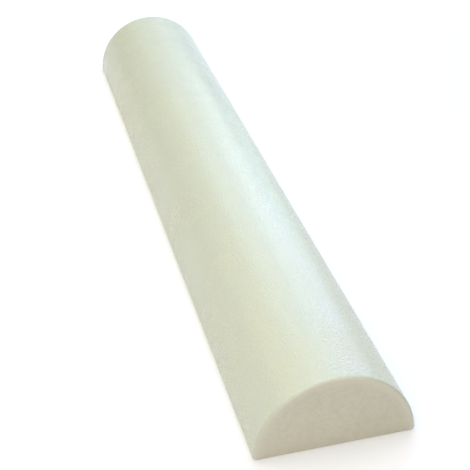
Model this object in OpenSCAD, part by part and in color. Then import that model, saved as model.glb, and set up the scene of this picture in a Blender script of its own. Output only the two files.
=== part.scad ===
// Half-round foam exercise roller.
// A closed-cell foam log is extruded with a dense, smooth skin, sawn in half along its
// length and cut square at both ends. The curved side keeps the skin, while the flat
// base and the two end faces show the sawn cells of the core.
//
// Millimetres. The roller lies along Y, its flat base rests on Z = 0, and the origin
// is the middle of the base.

/* [Roller] */
// Length from one sawn end to the other
roller_length = 914.4; // [300:0.1:1220]
// Diameter of the round log that the roller is sawn from
log_diameter = 152.4; // [90:0.1:210]
// Width of the saw cut that splits the log into two half-rounds
saw_cut = 2.4; // [0.4:0.1:6]

/* [Foam] */
// Thickness of the dense extruded skin
skin_thickness = 1.2; // [0.6:0.1:1.8]

/* [Edges] */
// Radius of the softened curved edge at each end
end_edge_radius = 3; // [2.2:0.1:6]
// Radius of the softened long edge at each side of the base
base_edge_radius = 3; // [2.2:0.1:6]

/* [Hidden] */
$fn = 180;

log_radius = log_diameter / 2;
core_radius = log_radius - skin_thickness;
half_length = roller_length / 2;
// The log's own axis lies half a saw cut below the base
log_axis_z = -saw_cut / 2;
// The arc that rounds a long base edge stands this far proud of the log at its widest,
// so that the two surfaces cross instead of only touching
edge_crossing = 0.05;
// Distance from the middle plane to the centre of that arc
base_edge_x = edge_crossing
            + sqrt(pow(log_radius - base_edge_radius, 2) - pow(base_edge_radius - log_axis_z, 2));
// Shapes that only cut reach this far past the roller
margin = 20;

foam_colour = [0.76, 0.73, 0.65];
skin_colour = [0.91, 0.93, 0.88];

// Lengthwise outline of the round log from its axis out, with softened ends
module log_outline() {
    translate([0, -half_length])
        square([log_radius - end_edge_radius, roller_length]);
    translate([0, end_edge_radius - half_length])
        square([log_radius, roller_length - 2 * end_edge_radius]);
    for (side = [-1, 1])
        translate([log_radius - end_edge_radius, side * (half_length - end_edge_radius)])
            circle(r = end_edge_radius);
}

// The whole round log, before it is sawn in half
module round_log() {
    translate([0, 0, log_axis_z])
        rotate([90, 0, 0])
            rotate_extrude()
                log_outline();
}

// What the saw leaves above the base, seen along the roller, with rounded base edges.
// It is wider than the log everywhere above those edges.
module sawn_section() {
    translate([-base_edge_x, 0])
        square([2 * base_edge_x, base_edge_radius]);
    for (side = [-1, 1])
        translate([side * base_edge_x, base_edge_radius])
            circle(r = base_edge_radius);
    translate([-log_radius - margin, base_edge_radius])
        square([2 * (log_radius + margin), log_radius + margin]);
}

// The half-round roller as one shape
module half_round() {
    intersection() {
        round_log();
        rotate([90, 0, 0])
            linear_extrude(height = roller_length + 2 * margin, center = true)
                sawn_section();
    }
}

// The cylinder inside which the foam has no skin
module core_cylinder() {
    translate([0, 0, log_axis_z])
        rotate([90, 0, 0])
            cylinder(r = core_radius, h = roller_length + 2 * margin, center = true);
}

// Light closed-cell foam: the body, the flat base and both end faces
module foam_core() {
    color(foam_colour)
        intersection() {
            half_round();
            core_cylinder();
        }
}

// Dense smooth skin over the curved side, grown onto the core in extrusion
module extruded_skin() {
    color(skin_colour)
        difference() {
            half_round();
            core_cylinder();
        }
}

foam_core();
extruded_skin();
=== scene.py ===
"""Half-round foam roller: its looks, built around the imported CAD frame.

Metres, +Y along the roller, +Z up, flat base on the floor. The roller is one extruded
foam log sawn in half: a smooth pebbled skin on the curved side, and sawn cells on the
flat base and on both ends.
"""

from math import acos, asin, ceil, cos, hypot, pi, radians, sin, sqrt

import bpy
from mathutils import Matrix, Vector, noise
from mathutils.geometry import delaunay_2d_cdt


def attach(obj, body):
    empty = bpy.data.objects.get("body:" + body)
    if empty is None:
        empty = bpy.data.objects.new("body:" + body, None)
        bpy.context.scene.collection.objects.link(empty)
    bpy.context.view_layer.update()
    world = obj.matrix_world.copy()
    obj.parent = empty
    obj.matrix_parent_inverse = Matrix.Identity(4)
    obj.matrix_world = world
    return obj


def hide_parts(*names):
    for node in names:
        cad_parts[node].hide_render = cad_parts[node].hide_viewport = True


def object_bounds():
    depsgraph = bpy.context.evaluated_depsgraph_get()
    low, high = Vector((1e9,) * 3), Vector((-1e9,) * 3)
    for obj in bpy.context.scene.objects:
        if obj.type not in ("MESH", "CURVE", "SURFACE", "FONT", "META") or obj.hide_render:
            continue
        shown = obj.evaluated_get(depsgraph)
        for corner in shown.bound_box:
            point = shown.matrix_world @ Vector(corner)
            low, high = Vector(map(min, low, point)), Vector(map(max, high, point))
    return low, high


MM = 0.001

# ------------------------------------------------------------------ sizes
# The foam log, as in the CAD model
LOG_RADIUS = 76.2 * MM
LOG_AXIS_Z = -1.2 * MM
SKIN_THICKNESS = 1.2 * MM
END_EDGE_RADIUS = 3.0 * MM
BASE_EDGE_RADIUS = 3.0 * MM
# Softening where the base meets an end face
BASE_END_RADIUS = 1.0 * MM

# Mesh fineness
SKIN_STEP = 1.65 * MM
SKIN_BACK_STEP = 14.0 * MM
# The coarse back of the skin stops this far short of the base edges and the ends
SKIN_BACK_MARGIN = radians(6)
SKIN_BACK_END_MARGIN = 6.0 * MM
FOAM_STEP = 3.2 * MM
CUT_STEP = 1.5 * MM
EDGE_STEPS = 6
HIDDEN_STEPS = 2
# The columns on a base edge never crowd closer to the curved side than this share of it
EDGE_LIMIT = 0.9
# Points inside an end face keep this far from its border, as a share of their own spacing
FACE_CLEARANCE = 0.7
# Points nearer to each other than this count as one
SAME_POINT = 1e-7

# The core is this much smaller than the skin's inside
TUCK_GAP = 0.05 * MM
# The skin runs on over the sawn foam by this depth, and lies this proud of it there
SKIN_LAP = 0.10 * MM
FOAM_INSET = 0.03 * MM
LIP_DEPTH = 0.02 * MM
# How far round an end's edge the skin's torn border wanders, and how often
SKIN_END_WANDER = radians(8)
SKIN_END_WANDER_SIZE = 9.0 * MM

# Relief of the skin: slow unevenness from extrusion, and pebbles over the foam cells.
# It starts a little way in from the skin's border and grows to its full height.
SWELL_SIZE = 42.0 * MM
SWELL_HEIGHT = 0.11 * MM
PEBBLE_SIZE = 4.2 * MM
PEBBLE_HEIGHT = 0.06 * MM
RELIEF_START = 1.2 * MM
RELIEF_FADE = 3.0 * MM
# Relief of the sawn faces: only ever into the foam
SAW_SWELL_SIZE = 25.0 * MM
SAW_GRAIN_SIZE = 3.0 * MM
SAW_DEPTH = 0.12 * MM
SAW_FADE = 4.0 * MM
SAW_GRAIN_SHARE = 0.5

# ------------------------------------------------------------------ finishes
# Where a noise's middle values lie, which a finish spreads over its full range
NOISE_MIDDLE = (0.3, 0.7)
# Skin: pebbles over the foam cells, a finer grain, and wide soft clouds of colour
SKIN_PEBBLE = 1.9 * MM
SKIN_GRAIN = 1.1 * MM
SKIN_CLOUD = 85.0 * MM
SKIN_BUMP = 0.42 * MM
SKIN_ROUGHNESS = 0.26
SKIN_SHINE = 0.34
# Painted shade in the hollows between pebbles: how deep they count as hollow, and how much of their
# darker colour shows
SKIN_HOLLOW_SHADE_BAND = (0.25, 0.75)
SKIN_HOLLOW_SHADE_SHARE = 0.35
# How much rougher or smoother the grain and the clouds make it, and how much rougher bare foam is
SKIN_GRAIN_BAND = (0.25, 0.75)
SKIN_GRAIN_ROUGH = 0.04
SKIN_CLOUD_ROUGH = 0.03
SKIN_BARE_ROUGH = 0.45
# What the bump is made of
SKIN_PEBBLE_BUMP = 0.8
SKIN_GRAIN_BUMP = 0.3
# The skin thins out to bare foam between these distances from an end, and from the base
SKIN_END_FADE = (0.2 * MM, 1.0 * MM)
SKIN_BASE_FADE = (0.8 * MM, 2.0 * MM)
SKIN_TORN = 0.3 * MM
SKIN_TORN_BAND = (0.2, 0.8)
# Sawn foam: the cut cells, a finer grain, mottling, and clouds; paler over a band beside the skin, a
# painted glow of light through the translucent foam
FOAM_CELL = 1.3 * MM
FOAM_GRAIN = 0.9 * MM
FOAM_MOTTLE = 6.0 * MM
FOAM_CLOUD = 60.0 * MM
FOAM_BUMP = 0.20 * MM
FOAM_SHINE = 0.25
FOAM_RIM_GLOW_BAND = (1.0 * MM, 11.0 * MM)
# Cut cells: painted shade in the pits fades out over the first band, painted light on their walls over
# the second, mottling comes in over the third, and each shows at most this share of its colour
FOAM_PIT_SHADE_BAND = (0.1, 0.6)
FOAM_PIT_SHADE_SHARE = 0.5
FOAM_WALL_LIGHT_BAND = (0.0, 0.1)
FOAM_WALL_LIGHT_SHARE = 0.5
FOAM_MOTTLE_BAND = (0.35, 0.75)
FOAM_MOTTLE_SHARE = 0.3
FOAM_ROUGHNESS = (0.86, 0.96)
FOAM_PIT_BUMP = 0.7
FOAM_GRAIN_BUMP = 0.5
# Colours
SKIN_COOL = (0.707, 0.734, 0.592, 1.0)
SKIN_WARM = (0.715, 0.727, 0.567, 1.0)
# Painted shade: the darker colour of the hollows between pebbles
SKIN_HOLLOW_SHADE = (0.666, 0.685, 0.532, 1.0)
FOAM_LIGHT = (0.780, 0.740, 0.595, 1.0)
FOAM_DEEP = (0.740, 0.700, 0.552, 1.0)
# Darker foam: painted shade in the pits of the cut cells, and also the random mottling
FOAM_PIT_SHADE_AND_MOTTLE = (0.620, 0.580, 0.452, 1.0)
# Pale foam: the bare foam where the skin thins out, and also painted light on the cell walls and a
# painted glow in the band beside the skin
FOAM_BARE_AND_PAINTED_LIGHT = (0.795, 0.762, 0.622, 1.0)

# ------------------------------------------------------------------ floor and backdrop
FLOOR_SIZE = 12.0
# It lies this far below the base, so that the two never share a surface
FLOOR_DROP = 0.2 * MM
FLOOR_WHITE = (0.85, 0.85, 0.85, 1.0)
FLOOR_ROUGHNESS = (0.9, 0.95)
FLOOR_PATCH = 0.2
# The floor glows faintly round the roller, and more where the lights don't reach, so that it
# stays pale out to the backdrop
FLOOR_GLOW_NEAR = 0.135
FLOOR_GLOW_FAR = 0.85
FLOOR_NEAR = 0.7
FLOOR_FAR = 3.0
BACKDROP = 0.95
WHITE = (1.0, 1.0, 1.0, 1.0)

# ------------------------------------------------------------------ lights and camera
# Each light: azimuth from +Y towards +X and elevation in degrees, distance, size, power, colour,
# and how far along the roller it aims
LIGHTS = {
    "top_softbox": (0, 90, 2.4, 2.6, 61.2, (1.0, 1.0, 1.0), 0.0),
    "front_left": (210, 35, 2.2, 1.0, 12.6, (1.0, 0.96, 0.90), 0.0),
    "far_left": (-90, 47, 1.18, 0.5, 1.5, (1.0, 0.75, 0.05), 0.7),
    "window_near": (46, 15, 2.2, 0.6, 4.2, (0.52, 0.42, 1.0), 0.0),
    "window_low": (40, 8, 2.2, 0.6, 2.6, (0.40, 1.0, 0.65), 0.0),
    "window_right": (38, 22, 2.2, 0.6, 4.0, (0.25, 0.25, 1.0), 0.0),
    "window_middle": (30, 22, 2.2, 0.6, 5.2, (0.68, 0.93, 0.92), 0.0),
    "window_high": (24, 38, 2.2, 0.6, 6.1, (0.15, 0.46, 1.0), 0.0),
    "window_left": (18, 22, 2.2, 0.6, 2.0, (0.75, 0.86, 1.0), 0.0),
    "window_back": (0, 38, 2.2, 0.6, 4.7, (0.48, 0.80, 1.0), 0.0),
}
LIGHT_AIM_Z = 30.0 * MM

CAMERA_AIM = Vector((0.0012, -0.0828, 0.0))
CAMERA_AZIMUTH = radians(-12.95)
CAMERA_ELEVATION = radians(31.615)
CAMERA_DISTANCE = 1.3251
CAMERA_ROLL = radians(2.13)
CAMERA_LENS = 86.62

# ------------------------------------------------------------------ frame
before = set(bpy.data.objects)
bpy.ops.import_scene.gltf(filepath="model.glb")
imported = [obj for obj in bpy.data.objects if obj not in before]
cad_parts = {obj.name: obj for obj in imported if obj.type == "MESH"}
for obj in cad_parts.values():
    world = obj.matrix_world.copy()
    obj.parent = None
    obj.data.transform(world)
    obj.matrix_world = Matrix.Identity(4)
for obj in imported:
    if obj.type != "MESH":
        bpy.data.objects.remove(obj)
cad_low, cad_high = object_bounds()
HALF_LENGTH = cad_high.y


# ------------------------------------------------------------------ the roller's outline
def spread(count):
    """count + 1 fractions from 0 to 1."""
    return [k / count for k in range(count + 1)]


def base_edge(inset):
    """Centre x of a rounded base edge, and the angle at which it runs into the curved side."""
    rise = BASE_EDGE_RADIUS - LOG_AXIS_Z
    reach = LOG_RADIUS - inset - BASE_EDGE_RADIUS
    return sqrt(reach**2 - rise**2), asin(rise / reach)


def section_point(zone, part, inset):
    """Point and outward normal (x, z, nx, nz) of the D outline, for a log smaller by inset."""
    edge_x, meet = base_edge(inset)
    if zone == "base":
        return edge_x * (2 * part - 1), 0.0, 0.0, -1.0
    if zone == "log":
        radius = LOG_RADIUS - inset
        angle = meet + part * (pi - 2 * meet)
        return radius * cos(angle), LOG_AXIS_Z + radius * sin(angle), cos(angle), sin(angle)
    side = 1 if zone == "right" else -1
    angle = part * (pi / 2 + meet) - pi / 2
    x = side * (edge_x + BASE_EDGE_RADIUS * cos(angle))
    return x, BASE_EDGE_RADIUS * (1 + sin(angle)), side * cos(angle), sin(angle)


def edge_part_at(depth, inset):
    """How far up a base edge it lies depth inside the full log: 0 at the base, 1 at the side."""
    reach = LOG_RADIUS - inset - BASE_EDGE_RADIUS
    difference = (LOG_RADIUS - depth) ** 2 - reach**2 - BASE_EDGE_RADIUS**2
    below = acos(min(1.0, difference / (2 * reach * BASE_EDGE_RADIUS)))
    return min(EDGE_LIMIT, 1 - below / (base_edge(inset)[1] + pi / 2))


def end_turn_at(depth):
    """The angle round the softened edge of an end at which that edge lies depth inside the full log."""
    return acos(1 - depth / END_EDGE_RADIUS)


def end_row(turn, end):
    """A row (y, inset, turn, end) round an end's edge: turn is 0 on the side, 90 degrees on the face."""
    y = end * (HALF_LENGTH - END_EDGE_RADIUS * (1 - sin(turn)))
    return y, END_EDGE_RADIUS * (1 - cos(turn)), turn, end


def long_rows(step):
    """Rows along the straight middle of the roller."""
    start = HALF_LENGTH - END_EDGE_RADIUS
    return [(start * (2 * f - 1), 0.0, 0.0, 1) for f in spread(round(2 * start / step))]


def surface(zone, part, row):
    """Point and normal of the roller's outer surface."""
    y, inset, turn, end = row
    x, z, nx, nz = section_point(zone, part, inset)
    # The base runs out to the end faces with a small softened edge of its own
    from_end = HALF_LENGTH - abs(y)
    if from_end < BASE_END_RADIUS:
        lift = BASE_END_RADIUS - sqrt(BASE_END_RADIUS**2 - (BASE_END_RADIUS - from_end) ** 2)
        z += lift * max(0.0, 1 - z / BASE_EDGE_RADIUS) ** 2
    return Vector((x, y, z)), Vector((nx * cos(turn), end * sin(turn), nz * cos(turn)))


# ------------------------------------------------------------------ meshes
def stitch(outer, inner):
    """Triangles between two closed loops of (vertex, place). Place rises from 0 round each."""
    faces = []
    a, b = 0, 0
    total = outer[-1][1] + 1.0
    while a < len(outer) or b < len(inner):
        next_a = outer[a + 1][1] if a + 1 < len(outer) else total
        next_b = inner[b + 1][1] if b + 1 < len(inner) else total
        here_a = outer[a % len(outer)][0]
        here_b = inner[b % len(inner)][0]
        if b >= len(inner) or (a < len(outer) and next_a <= next_b):
            faces.append((here_a, outer[(a + 1) % len(outer)][0], here_b))
            a += 1
        else:
            faces.append((here_a, inner[(b + 1) % len(inner)][0], here_b))
            b += 1
    return faces


def grid_faces(rows, columns, first=0):
    """Quads of a grid whose vertices were added row by row."""
    faces = []
    for i in range(rows - 1):
        for j in range(columns - 1):
            corner = first + i * columns + j
            faces.append((corner, corner + columns, corner + columns + 1, corner + 1))
    return faces


def grid_border(rows, columns, first=0):
    """The border of such a grid as a closed loop of (vertex, place), one unit of place a side."""
    loop = [(first + j, j / (columns - 1)) for j in range(columns - 1)]
    loop += [(first + i * columns + columns - 1, 1 + i / (rows - 1)) for i in range(rows - 1)]
    last = first + (rows - 1) * columns
    loop += [(last + columns - 1 - j, 2 + j / (columns - 1)) for j in range(columns - 1)]
    loop += [(last - i * columns, 3 + i / (rows - 1)) for i in range(rows - 1)]
    return loop


def closed_pairs(loop):
    """Each member of a loop with the next one, round to the first."""
    return list(zip(loop, loop[1:] + loop[:1]))


def add_piece(name, vertices, faces, sharp, node, material):
    """A finished closed piece that stands for a CAD node. Shading breaks along the sharp edges."""
    mesh = bpy.data.meshes.new(name)
    mesh.from_pydata(vertices, [], faces)
    mesh.validate()
    mesh.update()
    mesh.shade_smooth()
    for edge in mesh.edges:
        edge.use_edge_sharp = frozenset(edge.vertices) in sharp
    mesh.materials.append(material)
    piece = bpy.data.objects.new(name, mesh)
    bpy.context.scene.collection.objects.link(piece)
    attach(piece, "root")
    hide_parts(node)
    return piece


# ------------------------------------------------------------------ skin
def skin_relief(point):
    """Height of the skin's own unevenness at a place. It dies out where the skin ends."""
    swell = noise.noise(point / SWELL_SIZE) * SWELL_HEIGHT
    nearest = noise.voronoi(point / PEBBLE_SIZE)[0]
    pebble = (1 - 2 * nearest[0]) * PEBBLE_HEIGHT
    from_border = min(HALF_LENGTH - abs(point.y), point.z) - RELIEF_START
    return (swell + pebble) * min(1.0, max(0.0, from_border / RELIEF_FADE))


def skin_section(inset):
    """Places round the section that the skin covers, from the right base edge over to the left one."""
    border = edge_part_at(SKIN_THICKNESS + SKIN_LAP, inset)
    edge = [border + (1 - border) * f for f in spread(EDGE_STEPS)[:-1]]
    arc = spread(round((pi - 2 * base_edge(0)[1]) * LOG_RADIUS / SKIN_STEP))
    return (
        [("right", part) for part in edge]
        + [("log", part) for part in arc]
        + [("left", part) for part in reversed(edge)]
    )


def skin_end_turn(x, z, end):
    """How far round the end's edge the skin reaches at a place: a little past the core, give or take."""
    place = Vector((x, end * HALF_LENGTH, z)) / SKIN_END_WANDER_SIZE
    return end_turn_at(SKIN_THICKNESS + SKIN_LAP) + SKIN_END_WANDER * abs(noise.noise(place))


def make_skin(material):
    """The skin: its outer surface, a thin lip all round that, and a coarse back against the core."""
    columns = len(skin_section(0))
    shares = spread(EDGE_STEPS)[1:]
    straight = skin_section(0)
    vertices = []
    lip = []

    def add(zone, part, row):
        point, normal = surface(zone, part, row)
        vertices.append(point + normal * skin_relief(point))
        lip.append(point - normal * LIP_DEPTH)

    def add_end(share, end):
        for j, (zone, part) in enumerate(straight):
            x, z, _, _ = section_point(zone, part, 0)
            row = end_row(skin_end_turn(x, z, end) * share, end)
            add(*skin_section(row[1])[j], row)

    for share in reversed(shares):
        add_end(share, -1)
    middle = long_rows(SKIN_STEP)
    for row in middle:
        for zone, part in straight:
            add(zone, part, row)
    for share in shares:
        add_end(share, 1)
    row_count = len(middle) + 2 * len(shares)
    faces = grid_faces(row_count, columns)

    # The thin lip all round, then the coarse inner surface of the skin
    border = grid_border(row_count, columns)
    first = len(vertices)
    vertices += [lip[v] for v, _ in border]
    lip_loop = [(first + k, place) for k, (_, place) in enumerate(border)]
    for (outer, inner), (next_outer, next_inner) in closed_pairs(list(zip(border, lip_loop))):
        faces.append((outer[0], next_outer[0], next_inner[0], inner[0]))
    sharp = {frozenset((a[0], b[0])) for a, b in closed_pairs(border)}

    back_first = len(vertices)
    arc = pi - 2 * SKIN_BACK_MARGIN
    angles = [SKIN_BACK_MARGIN + arc * f for f in spread(round(arc * LOG_RADIUS / SKIN_BACK_STEP))]
    reach = HALF_LENGTH - SKIN_BACK_END_MARGIN
    places = [reach * (2 * f - 1) for f in spread(round(2 * reach / SKIN_BACK_STEP))]
    # Its straight steps are set out far enough to clear the round core
    back_radius = (LOG_RADIUS - SKIN_THICKNESS) / cos((angles[1] - angles[0]) / 2)
    for y in places:
        for angle in angles:
            z = LOG_AXIS_Z + back_radius * sin(angle)
            vertices.append(Vector((back_radius * cos(angle), y, z)))
    faces += [face[::-1] for face in grid_faces(len(places), len(angles), back_first)]
    back_loop = grid_border(len(places), len(angles), back_first)
    faces += stitch(lip_loop, back_loop)
    name = "extruded_skin_surface"
    return add_piece(name, vertices, faces, sharp, "extruded_skin", material)


# ------------------------------------------------------------------ sawn foam core
def core_section(inset):
    """Places all round the section: base, edge, curved side under the skin, other edge."""
    corner = edge_part_at(SKIN_THICKNESS + TUCK_GAP, inset)
    sawn = [corner * f for f in spread(EDGE_STEPS)[1:]]
    hidden = [corner + (1 - corner) * f for f in spread(HIDDEN_STEPS)[1:-1]]
    edge = sawn + hidden
    arc = spread(round(pi * LOG_RADIUS / FOAM_STEP))
    base = spread(round(2 * LOG_RADIUS / FOAM_STEP))
    return (
        [("base", part) for part in base]
        + [("right", part) for part in edge]
        + [("log", part) for part in arc]
        + [("left", part) for part in reversed(edge)]
    )


def core_end_turns():
    """Angles round an end's edge: a few under the skin, then finer ones to the sawn end face."""
    corner = end_turn_at(SKIN_THICKNESS + TUCK_GAP)
    hidden = [corner * f for f in spread(HIDDEN_STEPS)[1:-1]]
    return hidden + [corner + (pi / 2 - corner) * f for f in spread(EDGE_STEPS)]


def core_point(zone, part, row):
    """A place on the core: on the roller's surface where it is sawn, under the skin where it isn't."""
    point, normal = surface(zone, part, row)
    if zone == "base":
        wave = 0.5 + 0.5 * noise.noise(point / SAW_SWELL_SIZE)
        from_border = min(HALF_LENGTH - abs(point.y), base_edge(row[1])[0] - abs(point.x))
        point.z += SAW_DEPTH * wave * min(1.0, from_border / SAW_FADE)
        return point
    point -= normal * FOAM_INSET
    from_axis = hypot(point.x, point.z - LOG_AXIS_Z)
    most = LOG_RADIUS - SKIN_THICKNESS - TUCK_GAP
    if from_axis > most:
        point.x *= most / from_axis
        point.z = LOG_AXIS_Z + (point.z - LOG_AXIS_Z) * most / from_axis
    return point


def face_grid(low, high):
    """Staggered points that fill an end face, clear of its border."""
    clear = FACE_CLEARANCE * CUT_STEP
    radius = LOG_RADIUS - END_EDGE_RADIUS - clear
    row_height = CUT_STEP * sqrt(3) / 2
    points = []
    for i in range(ceil((high.y - low.y) / row_height)):
        z = low.y + clear + i * row_height
        side = high.x - clear - max(0.0, BASE_EDGE_RADIUS - z)
        for j in range(ceil((high.x - low.x) / CUT_STEP)):
            x = low.x + (j + 0.5 * (i % 2)) * CUT_STEP
            if hypot(x, z - LOG_AXIS_Z) < radius and abs(x) < side:
                points.append(Vector((x, z)))
    return points


def end_face(ring_ids, ring, end, next_id):
    """Fills a ring of core points with a fine sawn face. Returns its new vertices and its triangles."""
    flat = [Vector((p.x, p.z)) for p in ring]
    low = Vector((min(p.x for p in flat), min(p.y for p in flat)))
    high = Vector((max(p.x for p in flat), max(p.y for p in flat)))
    count = len(flat)
    loop = closed_pairs(list(range(count)))
    filled = delaunay_2d_cdt(flat + face_grid(low, high), loop, [], 1, SAME_POINT)
    points, _, triangles, origins = filled[:4]
    index = {}
    vertices = []
    for k, origin in enumerate(origins):
        if origin and origin[0] < count:
            index[k] = ring_ids[origin[0]]
            continue
        x, z = points[k]
        place = Vector((x, end * HALF_LENGTH, z))
        from_rim = LOG_RADIUS - END_EDGE_RADIUS - hypot(x, z - LOG_AXIS_Z)
        fade = min(1.0, from_rim / SAW_FADE, z / SAW_FADE)
        grain = 0.5 + 0.5 * noise.noise(place / SAW_GRAIN_SIZE)
        wave = 0.5 + 0.5 * noise.noise(place / SAW_SWELL_SIZE)
        place.y -= end * SAW_DEPTH * fade * (SAW_GRAIN_SHARE * grain + wave)
        index[k] = next_id + len(vertices)
        vertices.append(place)
    return vertices, [tuple(index[k] for k in triangle) for triangle in triangles]


def make_core(material):
    """The core: one tube of rows from end to end, closed by a fine sawn face at each end."""
    turns = core_end_turns()
    front = [end_row(turn, -1) for turn in reversed(turns)]
    back = [end_row(turn, 1) for turn in turns]
    rows = front + long_rows(FOAM_STEP) + back
    sections = [core_section(row[1]) for row in rows]
    vertices = []
    for row, section in zip(rows, sections):
        vertices += [core_point(zone, part, row) for zone, part in section]
    around = len(sections[0])
    faces = []
    for i in range(len(rows) - 1):
        for j in range(around):
            a = i * around + j
            b = i * around + (j + 1) % around
            faces.append((a, a + around, b + around, b))
    for row_index, end in ((0, -1), (len(rows) - 1, 1)):
        ring_ids = [row_index * around + j for j in range(around)]
        more, cap = end_face(ring_ids, [vertices[k] for k in ring_ids], end, len(vertices))
        vertices += more
        faces += [face[::-1] for face in cap] if end > 0 else cap

    # Shading breaks where the sawn foam meets the part under the skin
    base_count = sum(zone == "base" for zone, _ in sections[0])
    right = base_count + EDGE_STEPS - 1
    left = around - EDGE_STEPS
    corner_rows = (EDGE_STEPS, len(rows) - 1 - EDGE_STEPS)
    sharp = set()
    for j in (right, left):
        for i in range(corner_rows[0], corner_rows[1]):
            sharp.add(frozenset((i * around + j, (i + 1) * around + j)))
    for i in corner_rows:
        for j in range(right, left):
            sharp.add(frozenset((i * around + j, i * around + j + 1)))
    return add_piece("sawn_foam_core", vertices, faces, sharp, "foam_core", material)


# ------------------------------------------------------------------ materials
class Nodes:
    """Short hands for building one material's node tree."""

    def __init__(self, name):
        self.material = bpy.data.materials.new(name)
        self.material.use_nodes = True
        self.tree = self.material.node_tree
        self.shader = self.tree.nodes["Principled BSDF"]
        self.place = self.add("ShaderNodeTexCoord").outputs["Object"]

    def add(self, kind, inputs=(), **settings):
        node = self.tree.nodes.new(kind)
        for key, value in settings.items():
            setattr(node, key, value)
        for key, value in dict(inputs).items():
            self.put(node.inputs[key], value)
        return node

    def put(self, socket, value):
        """Links an output to a socket, or sets the socket's own value."""
        if isinstance(value, bpy.types.NodeSocket):
            self.tree.links.new(value, socket)
        else:
            socket.default_value = value

    def math(self, operation, *values):
        node = self.add("ShaderNodeMath", operation=operation)
        for socket, value in zip(node.inputs, values):
            self.put(socket, value)
        return node.outputs[0]

    def ramp(self, value, low, high, start=0.0, end=1.0):
        """Maps value smoothly from low..high to start..end, and holds it beyond them."""
        inputs = {"Value": value, "From Min": low, "From Max": high, "To Min": start, "To Max": end}
        return self.add("ShaderNodeMapRange", inputs, interpolation_type="SMOOTHSTEP").outputs[0]

    def mix(self, amount, first, second):
        node = self.add("ShaderNodeMix", data_type="RGBA")
        colours = [s for s in node.inputs if s.type == "RGBA"]
        self.put(node.inputs[0], amount)
        self.put(colours[0], first)
        self.put(colours[1], second)
        return [s for s in node.outputs if s.type == "RGBA"][0]

    def noise(self, size, detail=2.0):
        inputs = {"Vector": self.place, "Scale": 1 / size, "Detail": detail}
        return self.add("ShaderNodeTexNoise", inputs).outputs["Fac"]

    def cells(self, size, feature="F1"):
        inputs = {"Vector": self.place, "Scale": 1 / size}
        return self.add("ShaderNodeTexVoronoi", inputs, feature=feature).outputs["Distance"]

    def bump(self, height, distance):
        inputs = {"Height": height, "Distance": distance}
        self.put(self.shader.inputs["Normal"], self.add("ShaderNodeBump", inputs).outputs[0])


def skin_material():
    """Satin, pearly extruded skin: pebbled, with painted shade in the hollows between pebbles, and
    thinning out to bare foam at its borders.
    """
    n = Nodes("foam_skin")
    pebbles = n.cells(SKIN_PEBBLE, "SMOOTH_F1")
    grain = n.noise(SKIN_GRAIN)
    clouds = n.noise(SKIN_CLOUD, 3.0)
    split = n.add("ShaderNodeSeparateXYZ", {"Vector": n.place}).outputs

    colour = n.mix(n.ramp(clouds, *NOISE_MIDDLE), SKIN_COOL, SKIN_WARM)
    # Painted shade: the hollows between pebbles are darker
    hollow_shade = n.ramp(pebbles, *SKIN_HOLLOW_SHADE_BAND, 0.0, SKIN_HOLLOW_SHADE_SHARE)
    colour = n.mix(hollow_shade, colour, SKIN_HOLLOW_SHADE)
    from_end = n.math("SUBTRACT", HALF_LENGTH, n.math("ABSOLUTE", split["Y"]))
    torn = n.ramp(grain, *SKIN_TORN_BAND, -SKIN_TORN, SKIN_TORN)
    end_thin = n.ramp(n.math("ADD", from_end, torn), *SKIN_END_FADE, 1.0, 0.0)
    base_thin = n.ramp(n.math("ADD", split["Z"], torn), *SKIN_BASE_FADE, 1.0, 0.0)
    thin = n.math("MAXIMUM", end_thin, base_thin)
    colour = n.mix(thin, colour, FOAM_BARE_AND_PAINTED_LIGHT)
    n.put(n.shader.inputs["Base Color"], colour)

    fine = n.ramp(grain, *SKIN_GRAIN_BAND, -SKIN_GRAIN_ROUGH, SKIN_GRAIN_ROUGH)
    wide = n.ramp(clouds, *NOISE_MIDDLE, -SKIN_CLOUD_ROUGH, SKIN_CLOUD_ROUGH)
    uneven = n.math("ADD", fine, wide)
    bare = n.math("MULTIPLY", thin, SKIN_BARE_ROUGH)
    rough = n.math("ADD", SKIN_ROUGHNESS, n.math("ADD", uneven, bare))
    n.put(n.shader.inputs["Roughness"], rough)

    domes = n.math("MULTIPLY", n.math("SUBTRACT", 1.0, pebbles), SKIN_PEBBLE_BUMP)
    n.bump(n.math("ADD", domes, n.math("MULTIPLY", grain, SKIN_GRAIN_BUMP)), SKIN_BUMP)
    n.shader.inputs["Specular IOR Level"].default_value = SKIN_SHINE
    return n.material


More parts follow.
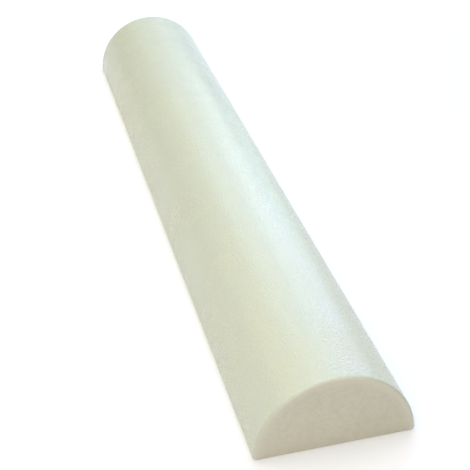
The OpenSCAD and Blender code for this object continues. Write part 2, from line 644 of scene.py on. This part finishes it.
def foam_material():
    """Matte sawn foam: fine cut cells with painted light on their walls and painted shade in their pits,
    mottled, and with a painted glow, paler, towards the skin.
    """
    n = Nodes("sawn_foam")
    walls = n.cells(FOAM_CELL, "DISTANCE_TO_EDGE")
    pits = n.cells(FOAM_CELL)
    grain = n.noise(FOAM_GRAIN)
    mottle = n.noise(FOAM_MOTTLE, 3.0)
    clouds = n.noise(FOAM_CLOUD)
    split = n.add("ShaderNodeSeparateXYZ", {"Vector": n.place}).outputs

    colour = n.mix(n.ramp(clouds, *NOISE_MIDDLE), FOAM_LIGHT, FOAM_DEEP)
    # Painted shade: the pits of the cut cells are darker
    colour = n.mix(n.ramp(pits, *FOAM_PIT_SHADE_BAND, FOAM_PIT_SHADE_SHARE, 0.0), colour, FOAM_PIT_SHADE_AND_MOTTLE)
    # Painted light: the walls of the cut cells are paler
    colour = n.mix(n.ramp(walls, *FOAM_WALL_LIGHT_BAND, FOAM_WALL_LIGHT_SHARE, 0.0), colour, FOAM_BARE_AND_PAINTED_LIGHT)
    colour = n.mix(n.ramp(mottle, *FOAM_MOTTLE_BAND, 0.0, FOAM_MOTTLE_SHARE), colour, FOAM_PIT_SHADE_AND_MOTTLE)
    # Painted glow: paler over a band beside the skin, standing in for light through the translucent foam
    across = n.math("MULTIPLY", split["X"], split["X"])
    above = n.math("SUBTRACT", split["Z"], LOG_AXIS_Z)
    squares = n.math("ADD", across, n.math("MULTIPLY", above, above))
    from_rim = n.math("SUBTRACT", LOG_RADIUS, n.math("SQRT", squares))
    colour = n.mix(n.ramp(from_rim, *FOAM_RIM_GLOW_BAND, 1.0, 0.0), colour, FOAM_BARE_AND_PAINTED_LIGHT)
    n.put(n.shader.inputs["Base Color"], colour)
    n.put(n.shader.inputs["Roughness"], n.ramp(mottle, *NOISE_MIDDLE, *FOAM_ROUGHNESS))

    cut = n.math("MULTIPLY", pits, FOAM_PIT_BUMP)
    n.bump(n.math("ADD", cut, n.math("MULTIPLY", grain, FOAM_GRAIN_BUMP)), FOAM_BUMP)
    n.shader.inputs["Specular IOR Level"].default_value = FOAM_SHINE
    return n.material


def floor_material():
    """White studio floor. Its own glow keeps the shadows and the distance pale."""
    n = Nodes("studio_floor")
    n.put(n.shader.inputs["Base Color"], FLOOR_WHITE)
    patches = n.noise(FLOOR_PATCH)
    n.put(n.shader.inputs["Roughness"], n.ramp(patches, *NOISE_MIDDLE, *FLOOR_ROUGHNESS))
    n.shader.inputs["Specular IOR Level"].default_value = 0.0
    n.shader.inputs["Emission Color"].default_value = WHITE
    away = n.add("ShaderNodeVectorMath", {0: n.place}, operation="LENGTH").outputs["Value"]
    glow = n.ramp(away, FLOOR_NEAR, FLOOR_FAR, FLOOR_GLOW_NEAR, FLOOR_GLOW_FAR)
    n.put(n.shader.inputs["Emission Strength"], glow)
    return n.material


make_skin(skin_material())
make_core(foam_material())


# ------------------------------------------------------------------ floor and light
def soft_light(name, azimuth, elevation, distance, size, power, colour, aim_y):
    """A square soft light aimed at a place along the roller."""
    data = bpy.data.lights.new(name, "AREA")
    data.size = size
    data.energy = power
    data.color = colour
    light = bpy.data.objects.new(name, data)
    bpy.context.scene.collection.objects.link(light)
    turn, rise = radians(azimuth), radians(elevation)
    away = Vector((sin(turn) * cos(rise), cos(turn) * cos(rise), sin(rise)))
    light.location = Vector((0.0, aim_y, LIGHT_AIM_Z)) + away * distance
    light.rotation_mode = "QUATERNION"
    light.rotation_quaternion = (-away).to_track_quat("-Z", "Y")
    light.visible_camera = False


bpy.ops.mesh.primitive_plane_add(size=FLOOR_SIZE, location=(0, 0, -FLOOR_DROP))
floor = bpy.context.object
floor.name = "studio_floor"
floor.data.materials.append(floor_material())

# The backdrop is only there to be seen: it lights nothing
world = bpy.data.worlds.new("studio")
bpy.context.scene.world = world
world.use_nodes = True
world.node_tree.nodes["Background"].inputs["Color"].default_value = WHITE
world.node_tree.nodes["Background"].inputs["Strength"].default_value = BACKDROP
world.cycles_visibility.diffuse = False
world.cycles_visibility.glossy = False

for light_name, settings in LIGHTS.items():
    soft_light(light_name, *settings)

camera_data = bpy.data.cameras.new("camera")
camera = bpy.data.objects.new("camera", camera_data)
bpy.context.scene.collection.objects.link(camera)
camera_data.lens = CAMERA_LENS
back = Vector((
    sin(CAMERA_AZIMUTH) * cos(CAMERA_ELEVATION),
    -cos(CAMERA_AZIMUTH) * cos(CAMERA_ELEVATION),
    sin(CAMERA_ELEVATION),
))
level = (-back).to_track_quat("-Z", "Y").to_matrix()
rolled = level @ Matrix.Rotation(-CAMERA_ROLL, 3, "Z")
camera.matrix_world = Matrix.Translation(CAMERA_AIM + back * CAMERA_DISTANCE) @ rolled.to_4x4()
bpy.context.scene.camera = camera
bpy.context.scene.view_settings.view_transform = "Standard"
